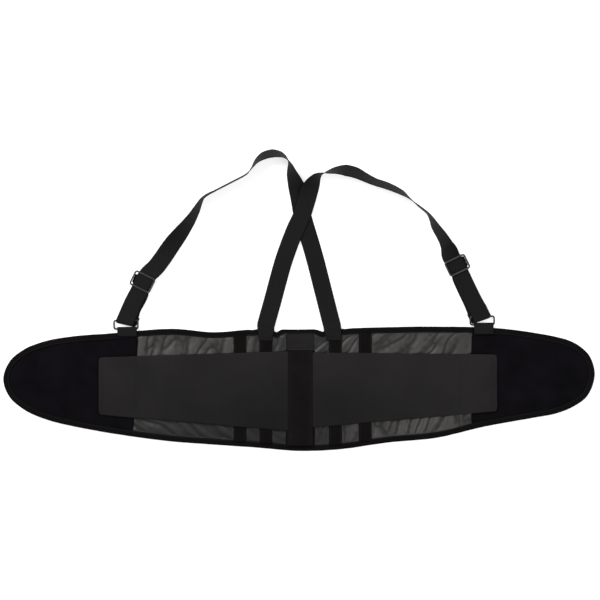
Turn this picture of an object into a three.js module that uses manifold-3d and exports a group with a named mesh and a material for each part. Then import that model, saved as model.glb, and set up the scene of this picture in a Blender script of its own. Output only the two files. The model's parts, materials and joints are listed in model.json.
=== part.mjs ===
// Lumbar support belt with elastic side-pull bands and a crossed shoulder harness.
// It lies flat with its outer face up: +X along the belt, +Y towards the shoulder straps,
// +Z out of the outer face. Millimetres. The origin is under the middle of the whole object.
import * as THREE from 'three';
import { mergeVertices } from 'three/addons/utils/BufferGeometryUtils.js';
import Module from 'manifold-3d';

const wasm = await Module();
wasm.setup();

// ---- driving dimensions ----

const GAP = 0.3;             // clearance between touching pieces
const BINDING = 11;          // visible width of the edge binding
const BINDING_LIP = 2;       // how far the panels stop short of the outline, inside the binding
const WEBBING = 32;          // harness webbing width
const WEB = 1.4;             // harness webbing thickness
const LAYERS = {             // heights of the belt's layers, as [low, high]
  binding: [0, 5.2],
  slot: [0.9, 4.3],
  closure: [0.1, 0.9],
  lining: [1.2, 2.1],
  face: [2.4, 4.0],
  mesh: [1.6, 3.4],
  channel: [3.7, 6.5],
  channelSlot: [4.4, 5.8],
  stay: [4.7, 5.5],
  hook: [4.3, 6.5],
  band: [6.8, 8.8],
  column: [3.7, 8.8],
  anchor: [6.8, 8.2],
  tab: [5.5, 7.6],
};

// Where the flaps fold, and the slanted seams where they meet the mesh.
const FOLD_X = { left: -372, right: 365 };
const SEAM = { left: { top: -291, bottom: -302 }, right: { top: 313, bottom: 313 } };
const COLUMN = { left: -22, right: 27, top: -90 };

const CHANNEL_X = { left_outer: -106, left_inner: -59.5, right_inner: 65.5, right_outer: 119 };
const CHANNEL_WIDTH = 23;
const STAY_SLOT_WIDTH = 17;
const STAY_WIDTH = 15;
const STAY_INSET = 20;

// The side-pull bands: top and bottom edge at the column and at the outer end.
const BANDS = {
  left: { rootTop: -92, rootBottom: -229, endTop: -103, endBottom: -206, endX: -360 },
  right: { rootTop: -94, rootBottom: -224, endTop: -98, endBottom: -200, endX: 356 },
};
const BAND_CORNER = 7;
const HOOK_LENGTH = 62;
const HOOK_MARGIN = 5;

// The line that the harness and both rings hinge on, just above the belt's top edge.
const HINGE = { leftX: -311, leftY: -51.8, rightX: 329.5, rightY: -44.3, z: 4.2 };
const HINGE_ANGLE = Math.atan2(HINGE.rightY - HINGE.leftY, HINGE.rightX - HINGE.leftX);

// Rings, tabs and sliders are bent wire.
const RING = { width: 46, height: 18.2, wire: 1.6 };
const LOOP = { inner: 2.2, outer: 3.6 };      // webbing folded round a ring bar
const TAB_WIDTH = 37;
const SLEEVE_WIDTH = 35;
const SLIDER = { halfWidth: 19, halfLength: 13, wire: 1.4, barZ: 9.6, coreWire: 0.9, railTop: 11 };
const TONGUE = { width: 30, length: 16, inner: 1.1, outer: 1.9, low: 0.7, high: 2.6 };
const SLIDER_TRAVEL = 45;

// Each shoulder side's straight run, from the ring's upper bar up through the slider.
const RUNS = {
  left: { ringX: -312, lean: 24, length: 76.2, tab: 13, turn: 2.5 },
  right: { ringX: 328, lean: -25.5, length: 101.7, tab: 17, turn: 0 },
};
const RUN_MAIN_Z = 7.1;      // middle of the outer webbing layer in the straight run
const RUN_RETURN_Z = 1.3;    // middle of the layer that comes back up from the ring

// Back anchors: where each strap's sewn end crosses the hinge line, and how it leans.
const ANCHORS = {
  left: { x: -60.9, lean: -5 },
  right: { x: 60.3, lean: 9 },
};
const ANCHOR_LENGTH = 24;
const ANCHOR_SETBACK = 2;
const STRAP_SETBACK = 1.2;

// The belt's outline, anticlockwise from the left tip along the bottom edge.
const OUTLINE = [
  [-532, -144], [-521, -174], [-495, -197], [-455, -215], [-369, -234.5], [-239, -253.5],
  [-164, -259.5], [-77, -265.5], [0, -271.5], [74, -268.5], [160, -256.5], [247, -248],
  [333, -228], [419, -212.5], [463, -204], [495, -191], [519, -172], [532, -135],
  [523, -101], [505, -83], [484, -72], [430, -60], [355, -50.5], [236, -47.7],
  [149, -49], [0, -53], [-77, -52.3], [-153, -57.8], [-229, -51.7], [-340, -60],
  [-405, -65], [-455, -73.5], [-495, -89], [-521, -111],
];
const OUTLINE_STEPS = 3;     // straight pieces between two outline points

// Strap routes from the sewn back end: x, y, roll of the webbing in degrees, lift off the floor.
// A roll of 0 lies flat, 90 stands on edge.
const LEFT_ROUTE = [
  [62.5, -58, 0, 3.2], [60, -48, 0, 3.2], [56, -33, 0, 2], [47.7, 0, 0, 0.2], [39.6, 32, 0, 0],
  [30.4, 68, 0, 0], [22, 98, 0, 0], [13.5, 126, 0, 0], [6, 153, 0, 0], [2, 176, 0, 0],
  [-2, 196, 6, 0], [-7.5, 212, 35, 0], [-13, 227, 55, 0], [-16.5, 241, 70, 0], [-22, 253, 88, 0],
  [-33, 260.5, 104, 0], [-47, 262.8, 116, 0], [-64, 258.5, 113, 0], [-76, 249, 103, 0],
  [-84, 237.5, 95, 0], [-93, 226.5, 91, 0], [-118, 212.4, 90, 0], [-150, 196, 90, 0],
  [-171, 183.5, 86, 0], [-183.5, 162, 69, 0], [-192, 147.5, 60, 0], [-202, 133, 49, 0],
  [-214, 118.8, 36, 0], [-225.5, 104.5, 22, 0], [-236.5, 90, 12, 0.6], [-249, 74.5, 4, 3.2],
  [-261.5, 60.5, 0, 5.4],
];
const RIGHT_ROUTE = [
  [-63.3, -58, 0, 3.2], [-60.5, -48.5, 0, 3.2], [-56.2, -33, 0, 2], [-47, 0, 0, 0.2],
  [-38.5, 32, 0, 0], [-28.4, 68, 0, 1], [-18, 98, 0, 2.4], [-7, 126, 0, 2.4], [5.5, 153, 0, 2.6],
  [14, 180, 0, 3.8], [19.5, 198, -12, 4], [27, 212, -42, 1.5], [32.5, 219.5, -60, 0],
  [40, 225.5, -84, 0], [52, 229.2, -104, 0], [67, 232.3, -118, 0], [84.5, 232.5, -134, 0],
  [101, 228.5, -133, 0], [117, 220.8, -126, 0], [137, 211.5, -117, 0], [157, 205, -111, 0],
  [172, 198.8, -107, 0], [186, 191.5, -100, 0], [198, 182.5, -93, 0], [214, 169, -90, 0],
  [231, 155, -87, 0], [238.5, 144, -74, 0], [244, 133, -60, 0], [250, 122, -52, 0],
  [257, 110, -43, 0], [264, 99, -29, 0], [270, 89.5, -12, 3],
];
const STRAP_STEPS = 96;

// ---- solids from three.js geometry ----

function solid(geometry) {
  const bare = geometry.clone();
  bare.deleteAttribute('normal');
  bare.deleteAttribute('uv');
  const merged = mergeVertices(bare, 1e-4);
  const mesh = new wasm.Mesh({
    numProp: 3,
    vertProperties: new Float32Array(merged.attributes.position.array),
    triVerts: new Uint32Array(merged.index.array),
  });
  return new wasm.Manifold(mesh);
}

function geometryOf(manifold) {
  const mesh = manifold.getMesh();
  const geometry = new THREE.BufferGeometry();
  geometry.setAttribute('position', new THREE.BufferAttribute(mesh.vertProperties, 3));
  geometry.setIndex(new THREE.BufferAttribute(mesh.triVerts, 1));
  geometry.computeVertexNormals();
  return geometry;
}

function prism(points, [low, high]) {
  const shape = new THREE.Shape(points.map(([x, y]) => new THREE.Vector2(x, y)));
  const geometry = new THREE.ExtrudeGeometry(shape, { depth: high - low, bevelEnabled: false });
  return solid(geometry.translate(0, 0, low));
}

function block([x0, x1], [y0, y1], [z0, z1]) {
  const geometry = new THREE.BoxGeometry(x1 - x0, y1 - y0, z1 - z0);
  return solid(geometry.translate((x0 + x1) / 2, (y0 + y1) / 2, (z0 + z1) / 2));
}

// A straight round bar along X.
function bar(length, radius, sides = 14) {
  return solid(new THREE.CylinderGeometry(radius, radius, length, sides).rotateZ(Math.PI / 2));
}

// A hollow sleeve along X, such as webbing folded round a bar.
function sleeve(length, inner, outer) {
  const shape = new THREE.Shape().absarc(0, 0, outer, 0, 2 * Math.PI, false);
  shape.holes.push(new THREE.Path().absarc(0, 0, inner, 0, 2 * Math.PI, true));
  const options = { depth: length, bevelEnabled: false, curveSegments: 12 };
  return solid(new THREE.ExtrudeGeometry(shape, options).translate(0, 0, -length / 2).rotateY(Math.PI / 2));
}

function union(pieces) {
  return pieces.reduce((whole, piece) => whole.add(piece));
}

const degrees = THREE.MathUtils.degToRad;

// Turn about Z, then move.
function place(manifold, x, y, z, angle = 0) {
  const matrix = new THREE.Matrix4().makeTranslation(x, y, z);
  matrix.multiply(new THREE.Matrix4().makeRotationZ(angle));
  return solid(geometryOf(manifold).applyMatrix4(matrix));
}

// ---- the belt's outline and the cuts through it ----

const OUTLINE_CURVE = new THREE.CatmullRomCurve3(
  OUTLINE.map(([x, y]) => new THREE.Vector3(x, y, 0)), true, 'centripetal');
const EDGE = OUTLINE_CURVE.getPoints(OUTLINE.length * OUTLINE_STEPS).slice(0, -1);

// The outline moved inwards by a distance.
function insetEdge(distance) {
  return EDGE.map((point, i) => {
    const before = EDGE[(i + EDGE.length - 1) % EDGE.length];
    const after = EDGE[(i + 1) % EDGE.length];
    const along = after.clone().sub(before).normalize();
    return [point.x - along.y * distance, point.y + along.x * distance];
  });
}

function slab(inset, layer) {
  return prism(insetEdge(inset), layer);
}

// Everything between two lines that cross the belt, each given by its top and bottom x.
const FAR = 700;
const BELT_TOP = -50;
const BELT_BOTTOM = -260;
function between(left, right) {
  const corners = [
    [left.bottom, BELT_BOTTOM], [right.bottom, BELT_BOTTOM], [right.top, BELT_TOP], [left.top, BELT_TOP],
  ];
  const slope = (line) => (line.top - line.bottom) / (BELT_TOP - BELT_BOTTOM);
  const reach = 50;
  corners[0] = [left.bottom - slope(left) * reach, BELT_BOTTOM - reach];
  corners[1] = [right.bottom - slope(right) * reach, BELT_BOTTOM - reach];
  corners[2] = [right.top + slope(right) * reach, BELT_TOP + reach];
  corners[3] = [left.top + slope(left) * reach, BELT_TOP + reach];
  return prism(corners, [-1, 20]);
}

function upright(x) {
  return { top: x, bottom: x };
}

function moved(line, distance) {
  return { top: line.top + distance, bottom: line.bottom + distance };
}

// Everything on the strap side of the hinge line, past an offset.
function pastHinge(offset) {
  const piece = block([-FAR, FAR], [0, FAR], [-5, 60]);
  const middleX = (HINGE.leftX + HINGE.rightX) / 2;
  const middleY = (HINGE.leftY + HINGE.rightY) / 2;
  return place(piece, middleX, middleY + offset, 0, HINGE_ANGLE);
}

function hingeY(x) {
  return HINGE.leftY + (x - HINGE.leftX) * Math.tan(HINGE_ANGLE);
}

// ---- the belt ----

function bindingSolid() {
  const whole = slab(0, LAYERS.binding);
  const window = slab(BINDING, [-1, 20]);
  const slot = slab(BINDING_LIP - GAP, LAYERS.slot);
  return whole.subtract(window).subtract(slot);
}

function panel(layer, left, right) {
  return slab(BINDING_LIP, layer).intersect(between(left, right));
}

// A tube sewn on the mesh, open at both ends, that holds a stay.
function channelSolid(x) {
  const half = CHANNEL_WIDTH / 2;
  const outer = slab(BINDING + GAP, LAYERS.channel).intersect(between(upright(x - half), upright(x + half)));
  const halfSlot = STAY_SLOT_WIDTH / 2;
  return outer.subtract(block([x - halfSlot, x + halfSlot], [-400, 0], LAYERS.channelSlot));
}

function staySolid(x) {
  const half = STAY_WIDTH / 2;
  return slab(STAY_INSET, LAYERS.stay).intersect(between(upright(x - half), upright(x + half)));
}

function columnSolid() {
  const strip = between(upright(COLUMN.left), upright(COLUMN.right));
  const belowTop = block([-100, 100], [-400, COLUMN.top], [-1, 20]);
  return slab(BINDING + GAP, LAYERS.column).intersect(strip).intersect(belowTop);
}

// A four-cornered strip whose two outer corners are rounded; its ends are at x0 and x1.
function bandShape(x0, x1, band, margin, layer) {
  const side = Math.sign(x1 - x0);
  const top = (x) => THREE.MathUtils.mapLinear(x, bandRoot(side), band.endX, band.rootTop, band.endTop);
  const bottom = (x) =>
    THREE.MathUtils.mapLinear(x, bandRoot(side), band.endX, band.rootBottom, band.endBottom);
  const shape = new THREE.Shape();
  const corner = BAND_CORNER;
  shape.moveTo(x0, bottom(x0) + margin);
  shape.lineTo(x1 - side * corner, bottom(x1) + margin);
  shape.quadraticCurveTo(x1, bottom(x1) + margin, x1, bottom(x1) + margin + corner);
  shape.lineTo(x1, top(x1) - margin - corner);
  shape.quadraticCurveTo(x1, top(x1) - margin, x1 - side * corner, top(x1) - margin);
  shape.lineTo(x0, top(x0) - margin);
  const options = { depth: layer[1] - layer[0], bevelEnabled: false, curveSegments: 5 };
  return solid(new THREE.ExtrudeGeometry(shape, options).translate(0, 0, layer[0]));
}

function bandRoot(side) {
  return side < 0 ? COLUMN.left - GAP : COLUMN.right + GAP;
}

function bandSolid(name) {
  const band = BANDS[name];
  return bandShape(bandRoot(Math.sign(band.endX)), band.endX, band, 0, LAYERS.band);
}

function bandHookSolid(name) {
  const band = BANDS[name];
  const side = Math.sign(band.endX);
  const x1 = band.endX - side * HOOK_MARGIN;
  return bandShape(x1 - side * HOOK_LENGTH, x1, band, HOOK_MARGIN, LAYERS.hook);
}

function closureHookSolid() {
  return block([402, 488], [-178, -98], LAYERS.closure);
}

// ---- the harness and its hardware ----

function anchorSolid(name) {
  const { x, lean } = ANCHORS[name];
  const half = WEBBING / 2;
  const piece = block([-half, half], [-ANCHOR_LENGTH, half], LAYERS.anchor);
  return place(piece, x, hingeY(x), 0, degrees(lean)).subtract(pastHinge(-ANCHOR_SETBACK));
}

function tabSolid(name) {
  const half = TAB_WIDTH / 2;
  const [low, high] = LAYERS.tab;
  const leaf = block([-half, half], [-RUNS[name].tab, 0], [low - HINGE.z, high - HINGE.z]);
  const bore = bar(TAB_WIDTH + 2, LOOP.inner, 24);
  const whole = leaf.add(sleeve(TAB_WIDTH, LOOP.inner, LOOP.outer)).subtract(bore);
  return place(whole, HINGE[`${name}X`], HINGE[`${name}Y`], HINGE.z, HINGE_ANGLE);
}

// A closed rectangle of round wire, its lower bar on the hinge line.
function ringSolid(name) {
  const halfWidth = RING.width / 2 - RING.wire;
  const rise = RING.height - 2 * RING.wire;
  const sideBar = solid(new THREE.CylinderGeometry(RING.wire, RING.wire, rise, 14));
  const pieces = [0, rise].map((y) => bar(2 * halfWidth, RING.wire).translate([0, y, 0]));
  for (const x of [-halfWidth, halfWidth]) {
    pieces.push(sideBar.translate([x, rise / 2, 0]));
    for (const y of [0, rise]) {
      pieces.push(solid(new THREE.SphereGeometry(RING.wire, 14, 10)).translate([x, y, 0]));
    }
  }
  return place(union(pieces), HINGE[`${name}X`], HINGE[`${name}Y`], HINGE.z, HINGE_ANGLE);
}

// The middle of the ring's upper bar, where the straight run starts.
function runStart(name) {
  const run = RUNS[name];
  return new THREE.Vector2(run.ringX, hingeY(run.ringX) + RING.height - 2 * RING.wire);
}

function runPoint(name, distance) {
  const lean = degrees(RUNS[name].lean);
  return runStart(name).add(new THREE.Vector2(Math.sin(lean), Math.cos(lean)).multiplyScalar(distance));
}

function placeOnRun(manifold, name, distance, turn = 0) {
  const point = runPoint(name, distance);
  return place(manifold, point.x, point.y, 0, -degrees(RUNS[name].lean + turn));
}

// Two webbing-hugging bars above the strap, joined by rails to a core bar below it.
function sliderSolid(name) {
  const { halfWidth, halfLength, wire, barZ, coreWire, railTop } = SLIDER;
  const pieces = [bar(2 * halfWidth, coreWire).translate([0, 0, HINGE.z])];
  for (const side of [-1, 1]) {
    pieces.push(bar(2 * halfWidth, wire).translate([0, side * halfLength, barZ]));
    const rail = [side * halfWidth - wire, side * halfWidth + wire];
    pieces.push(block(rail, [-halfLength - wire, halfLength + wire], [HINGE.z - coreWire, railTop]));
  }
  return placeOnRun(union(pieces), name, RUNS[name].length, RUNS[name].turn);
}

// The strap's end, sewn back round the slider's core bar.
function tongueSolid(name) {
  const half = TONGUE.width / 2;
  const tail = block([-half, half], [-TONGUE.length, 0.5], [TONGUE.low, TONGUE.high]);
  const loop = sleeve(TONGUE.width, TONGUE.inner, TONGUE.outer).translate([0, 0, HINGE.z]);
  return placeOnRun(tail.add(loop), name, RUNS[name].length, RUNS[name].turn);
}

// Webbing that follows a route: a long box whose cross-sections are set along the curve.
function ribbon(route) {
  const middle = (roll, lift) => {
    const angle = degrees(roll);
    return GAP + lift + Math.abs(Math.sin(angle)) * WEBBING / 2 + Math.abs(Math.cos(angle)) * WEB / 2;
  };
  const curve = new THREE.CatmullRomCurve3(
    route.map(([x, y, roll, lift]) => new THREE.Vector3(x, y, middle(roll, lift))), false, 'centripetal');
  const geometry = new THREE.BoxGeometry(1, 1, 1, 1, 1, STRAP_STEPS);
  const positions = geometry.attributes.position;
  const up = new THREE.Vector3(0, 0, 1);
  for (let i = 0; i < positions.count; i += 1) {
    const t = THREE.MathUtils.clamp(positions.getZ(i) + 0.5, 0, 1);
    const along = curve.getTangent(t);
    const flat = new THREE.Vector3(along.x, along.y, 0).normalize();
    const side = flat.clone().cross(up);
    const station = t * (route.length - 1);
    const index = Math.min(Math.floor(station), route.length - 2);
    const roll = degrees(THREE.MathUtils.lerp(route[index][2], route[index + 1][2], station - index));
    const width = side.multiplyScalar(Math.cos(roll)).addScaledVector(up, Math.sin(roll));
    const face = along.clone().cross(width).normalize();
    const point = curve.getPoint(t);
    point.addScaledVector(width, positions.getX(i) * WEBBING);
    point.addScaledVector(face, positions.getY(i) * WEB);
    positions.setXYZ(i, point.x, point.y, point.z);
  }
  return solid(geometry);
}

// A shoulder strap from its back end, through the slider, round the ring and part of the way back.
function strapSolid(name, route) {
  const run = RUNS[name];
  const straight = [run.length + SLIDER.halfLength + 4, run.length, run.length / 2, 12, -12];
  const mainLift = RUN_MAIN_Z - GAP - WEB / 2;
  const points = straight.map((distance) => {
    const point = runPoint(name, distance);
    return [point.x, point.y, 0, mainLift];
  });
  const start = runStart(name);
  const ringLine = place(block([-60, 60], [0, FAR], [-5, 60]), start.x, start.y, 0, HINGE_ANGLE);
  const main = ribbon([...route, ...points]).intersect(pastHinge(STRAP_SETBACK));
  const nearRing = place(block([-60, 60], [-40, 0], [-5, 60]), start.x, start.y, 0, HINGE_ANGLE);
  const half = WEBBING / 2;
  const returnEnd = run.length - TONGUE.length - SLIDER_TRAVEL - 1;
  const layer = [RUN_RETURN_Z - WEB / 2, RUN_RETURN_Z + WEB / 2];
  const back = placeOnRun(block([-half, half], [-12, returnEnd], layer), name, 0).intersect(ringLine);
  const loop = place(sleeve(SLEEVE_WIDTH, LOOP.inner, LOOP.outer), start.x, start.y, HINGE.z, HINGE_ANGLE);
  const bore = place(bar(SLEEVE_WIDTH + 20, LOOP.inner, 24), start.x, start.y, HINGE.z, HINGE_ANGLE);
  return main.subtract(nearRing).add(back).add(loop).subtract(bore);
}

// ---- assembly ----

const MATERIALS = {
  velour: { color: 0x141216, roughness: 0.95, metalness: 0 },
  lining: { color: 0x1c1c1f, roughness: 0.9, metalness: 0 },
  mesh: { color: 0x4a4a4c, roughness: 0.8, metalness: 0 },
  centre: { color: 0x2a2828, roughness: 0.85, metalness: 0 },
  binding: { color: 0x1c1c1c, roughness: 0.8, metalness: 0 },
  elastic: { color: 0x2a282a, roughness: 0.85, metalness: 0 },
  channel: { color: 0x202022, roughness: 0.8, metalness: 0 },
  steel: { color: 0xb8bcc0, roughness: 0.35, metalness: 1 },
  hook: { color: 0x111113, roughness: 0.9, metalness: 0 },
  webbing: { color: 0x201f22, roughness: 0.75, metalness: 0 },
  wire: { color: 0x3c3c40, roughness: 0.35, metalness: 0.9 },
};

const belt = new THREE.Group();
belt.name = 'lumbar_support_belt';

function addPiece(name, manifold, material) {
  const mesh = new THREE.Mesh(geometryOf(manifold), new THREE.MeshStandardMaterial(MATERIALS[material]));
  mesh.name = name;
  belt.add(mesh);
}

function addBelt() {
  const leftFold = upright(FOLD_X.left);
  const rightFold = upright(FOLD_X.right);
  const farLeft = upright(-FAR);
  const farRight = upright(FAR);
  const half = GAP / 2;
  const middle = between(moved(leftFold, GAP), moved(rightFold, -GAP));
  const binding = bindingSolid();
  const topHalf = block([-FAR, FAR], [-150, 0], [-5, 20]);
  const bottomHalf = block([-FAR, FAR], [-400, -150 - GAP], [-5, 20]);
  addPiece('binding_top', binding.intersect(middle).intersect(topHalf), 'binding');
  addPiece('binding_bottom', binding.intersect(middle).intersect(bottomHalf), 'binding');
  addPiece('binding_left_flap', binding.intersect(between(farLeft, moved(leftFold, -GAP))), 'binding');
  addPiece('binding_right_flap', binding.intersect(between(moved(rightFold, GAP), farRight)), 'binding');

  const leftSeam = moved(SEAM.left, -half);
  const rightSeam = moved(SEAM.right, half);
  for (const [node, layer, material] of [['face', LAYERS.face, 'velour'], ['lining', LAYERS.lining, 'lining']]) {
    addPiece(`left_flap_${node}_inner`, panel(layer, moved(leftFold, GAP), leftSeam), material);
    addPiece(`left_flap_${node}_outer`, panel(layer, farLeft, moved(leftFold, -GAP)), material);
    addPiece(`right_flap_${node}_inner`, panel(layer, rightSeam, moved(rightFold, -GAP)), material);
    addPiece(`right_flap_${node}_outer`, panel(layer, moved(rightFold, GAP), farRight), material);
  }
  addPiece('closure_hook_patch', closureHookSolid(), 'hook');

  const columnLeft = upright(COLUMN.left);
  const columnRight = upright(COLUMN.right);
  addPiece('mesh_panel_left', panel(LAYERS.mesh, moved(SEAM.left, half), moved(columnLeft, -half)), 'mesh');
  addPiece('mesh_panel_right', panel(LAYERS.mesh, moved(columnRight, half), moved(SEAM.right, -half)), 'mesh');
  addPiece('centre_panel', panel(LAYERS.mesh, moved(columnLeft, half), moved(columnRight, -half)), 'centre');
  addPiece('centre_column', columnSolid(), 'webbing');
}

function addStays() {
  for (const [name, x] of Object.entries(CHANNEL_X)) {
    addPiece(`stay_channel_${name}`, channelSolid(x), 'channel');
    addPiece(`stay_${name}`, staySolid(x), 'steel');
  }
}

function addSide(name, route, anchorName) {
  addPiece(`${name}_band`, bandSolid(name), 'elastic');
  addPiece(`${name}_band_hook`, bandHookSolid(name), 'hook');
  addPiece(`${name}_tab`, tabSolid(name), 'webbing');
  addPiece(`${name}_ring`, ringSolid(name), 'wire');
  addPiece(`${name}_slider`, sliderSolid(name), 'wire');
  addPiece(`${name}_slider_tongue`, tongueSolid(name), 'webbing');
  addPiece(`${name}_strap`, strapSolid(name, route), 'webbing');
  addPiece(`${name}_strap_anchor`, anchorSolid(anchorName), 'webbing');
}

addBelt();
addStays();
addSide('left', LEFT_ROUTE, 'right');
addSide('right', RIGHT_ROUTE, 'left');

export default belt;
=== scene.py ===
"""Lumbar support belt with a crossed shoulder harness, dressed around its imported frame.

Lengths are millimetres until a mesh is made. The frame, materials, light and camera are in metres.
"""
import json
import math

import bmesh
import bpy
import numpy as np
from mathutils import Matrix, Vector, noise


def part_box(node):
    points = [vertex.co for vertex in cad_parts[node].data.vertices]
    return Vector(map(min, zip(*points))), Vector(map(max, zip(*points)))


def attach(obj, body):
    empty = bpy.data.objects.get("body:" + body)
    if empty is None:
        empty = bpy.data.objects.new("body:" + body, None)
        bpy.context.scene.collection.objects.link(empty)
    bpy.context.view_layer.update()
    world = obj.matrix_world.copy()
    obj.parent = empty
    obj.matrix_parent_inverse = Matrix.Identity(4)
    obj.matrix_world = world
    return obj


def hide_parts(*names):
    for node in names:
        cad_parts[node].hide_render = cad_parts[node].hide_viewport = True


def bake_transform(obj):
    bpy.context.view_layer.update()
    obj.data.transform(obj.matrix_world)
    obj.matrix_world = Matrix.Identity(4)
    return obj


MM = 0.001
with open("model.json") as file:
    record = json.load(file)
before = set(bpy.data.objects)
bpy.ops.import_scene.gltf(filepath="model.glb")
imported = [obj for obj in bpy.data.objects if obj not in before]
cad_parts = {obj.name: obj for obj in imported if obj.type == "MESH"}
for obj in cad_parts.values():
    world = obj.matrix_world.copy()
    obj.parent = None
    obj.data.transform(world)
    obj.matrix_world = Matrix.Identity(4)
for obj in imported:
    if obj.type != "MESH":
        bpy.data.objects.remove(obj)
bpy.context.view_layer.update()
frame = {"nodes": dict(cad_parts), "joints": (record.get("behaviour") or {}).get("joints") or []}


# ---- sizes that come from the frame ----

def extent(node):
    """A CAD node's lowest and highest corners, in millimetres."""
    low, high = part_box(node)
    return np.array(low) / MM, np.array(high) / MM


def levels(node):
    """A CAD node's lowest and highest z, in millimetres."""
    low, high = extent(node)
    return low[2], high[2]


def joint(name):
    return next(j for j in frame["joints"] if j["name"] == name)


def joint_point(name):
    return np.array(joint(name)["pos_m"]) / MM


def joint_axis(name):
    return np.array(joint(name)["axis"], float)


SIDES = ("left", "right")
SIGN = {"left": -1, "right": 1}
HINGE = {s: joint_point(f"{s}_ring_swivel") for s in SIDES}
HINGE_AXIS = joint_axis("harness_fold")
HINGE_NORMAL = np.array([-HINGE_AXIS[1], HINGE_AXIS[0], 0])
RUN = {s: joint_axis(f"{s}_slider_slide") for s in SIDES}
COLUMN = {s: extent("centre_column")[k][0] for k, s in enumerate(SIDES)}
COLUMN_TOP = extent("centre_column")[1][1]
UP = np.array([0.0, 0.0, 1.0])


def hinge_y(x):
    return HINGE["left"][1] + (x - HINGE["left"][0]) * HINGE_AXIS[1] / HINGE_AXIS[0]


# ---- the belt's outline, the same points as the design's ----

OUTLINE = [
    (-532, -144), (-521, -174), (-495, -197), (-455, -215), (-369, -234.5), (-239, -253.5),
    (-164, -259.5), (-77, -265.5), (0, -271.5), (74, -268.5), (160, -256.5), (247, -248),
    (333, -228), (419, -212.5), (463, -204), (495, -191), (519, -172), (532, -135),
    (523, -101), (505, -83), (484, -72), (430, -60), (355, -50.5), (236, -47.7),
    (149, -49), (0, -53), (-77, -52.3), (-153, -57.8), (-229, -51.7), (-340, -60),
    (-405, -65), (-455, -73.5), (-495, -89), (-521, -111),
]
LEFT_TIP, RIGHT_TIP = 0, 17      # the outline's points at the two round ends
BINDING = 11                     # width of the edge binding
# The top and the bottom of the seam between each flap and the mesh back.
SEAM = {"left": ((-291, -50), (-302, -260)), "right": ((313, -50), (313, -260))}


def spline(points, closed, steps):
    """A centripetal Catmull-Rom curve through the points, with steps pieces between two of them."""
    p = np.array(points, float)
    n = len(p)
    if closed:
        p = np.vstack([p[-1], p, p[0], p[1]])
        count = n
    else:
        p = np.vstack([2 * p[0] - p[1], p, 2 * p[-1] - p[-2]])
        count = n - 1
    out = []
    for i in range(count):
        a, b, c, d = p[i:i + 4]
        t0, t1, t2 = (max(np.linalg.norm(q - r), 1e-6) ** 0.5 for q, r in ((b, a), (c, b), (d, c)))
        m1 = ((b - a) / t0 - (c - a) / (t0 + t1) + (c - b) / t1) * t1
        m2 = ((c - b) / t1 - (d - b) / (t1 + t2) + (d - c) / t2) * t1
        for k in range(steps):
            t = k / steps
            out.append(b + m1 * t + (3 * (c - b) - 2 * m1 - m2) * t * t
                       + (2 * (b - c) + m1 + m2) * t ** 3)
    if not closed:
        out.append(p[-2])
    return np.array(out)


OUTLINE_STEPS = 20
EDGE = spline(OUTLINE, True, OUTLINE_STEPS)
EDGE_ALONG = np.roll(EDGE, -1, axis=0) - np.roll(EDGE, 1, axis=0)
EDGE_ALONG /= np.linalg.norm(EDGE_ALONG, axis=1)[:, None]
EDGE_INWARD = np.stack([-EDGE_ALONG[:, 1], EDGE_ALONG[:, 0]], axis=1)

# Beside each sewn strap the top edge is drawn in a little: x, depth and width of each pinch.
PINCHES = ((-40.5, 5.5, 5.5), (41.5, 5.0, 6.5), (-83, 1.2, 6), (84, 1.5, 6))
for _x, _depth, _width in PINCHES:
    _pull = _depth * np.exp(-((EDGE[:, 0] - _x) / _width) ** 2) * (EDGE[:, 1] > -100)
    EDGE = EDGE + EDGE_INWARD * _pull[:, None]


def edge_functions(inset):
    """y of the bottom and of the top edge at an x, for the outline moved inwards."""
    points = EDGE + EDGE_INWARD * inset
    split = RIGHT_TIP * OUTLINE_STEPS
    bottom = points[:split + 1]
    top = np.vstack([points[split:], points[:1]])[::-1]
    return (lambda x: np.interp(x, bottom[:, 0], bottom[:, 1]),
            lambda x: np.interp(x, top[:, 0], top[:, 1]))


def seam_x(side, y):
    (x0, y0), (x1, y1) = SEAM[side]
    return x0 + (y - y0) * (x1 - x0) / (y1 - y0)


# ---- node materials ----

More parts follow.
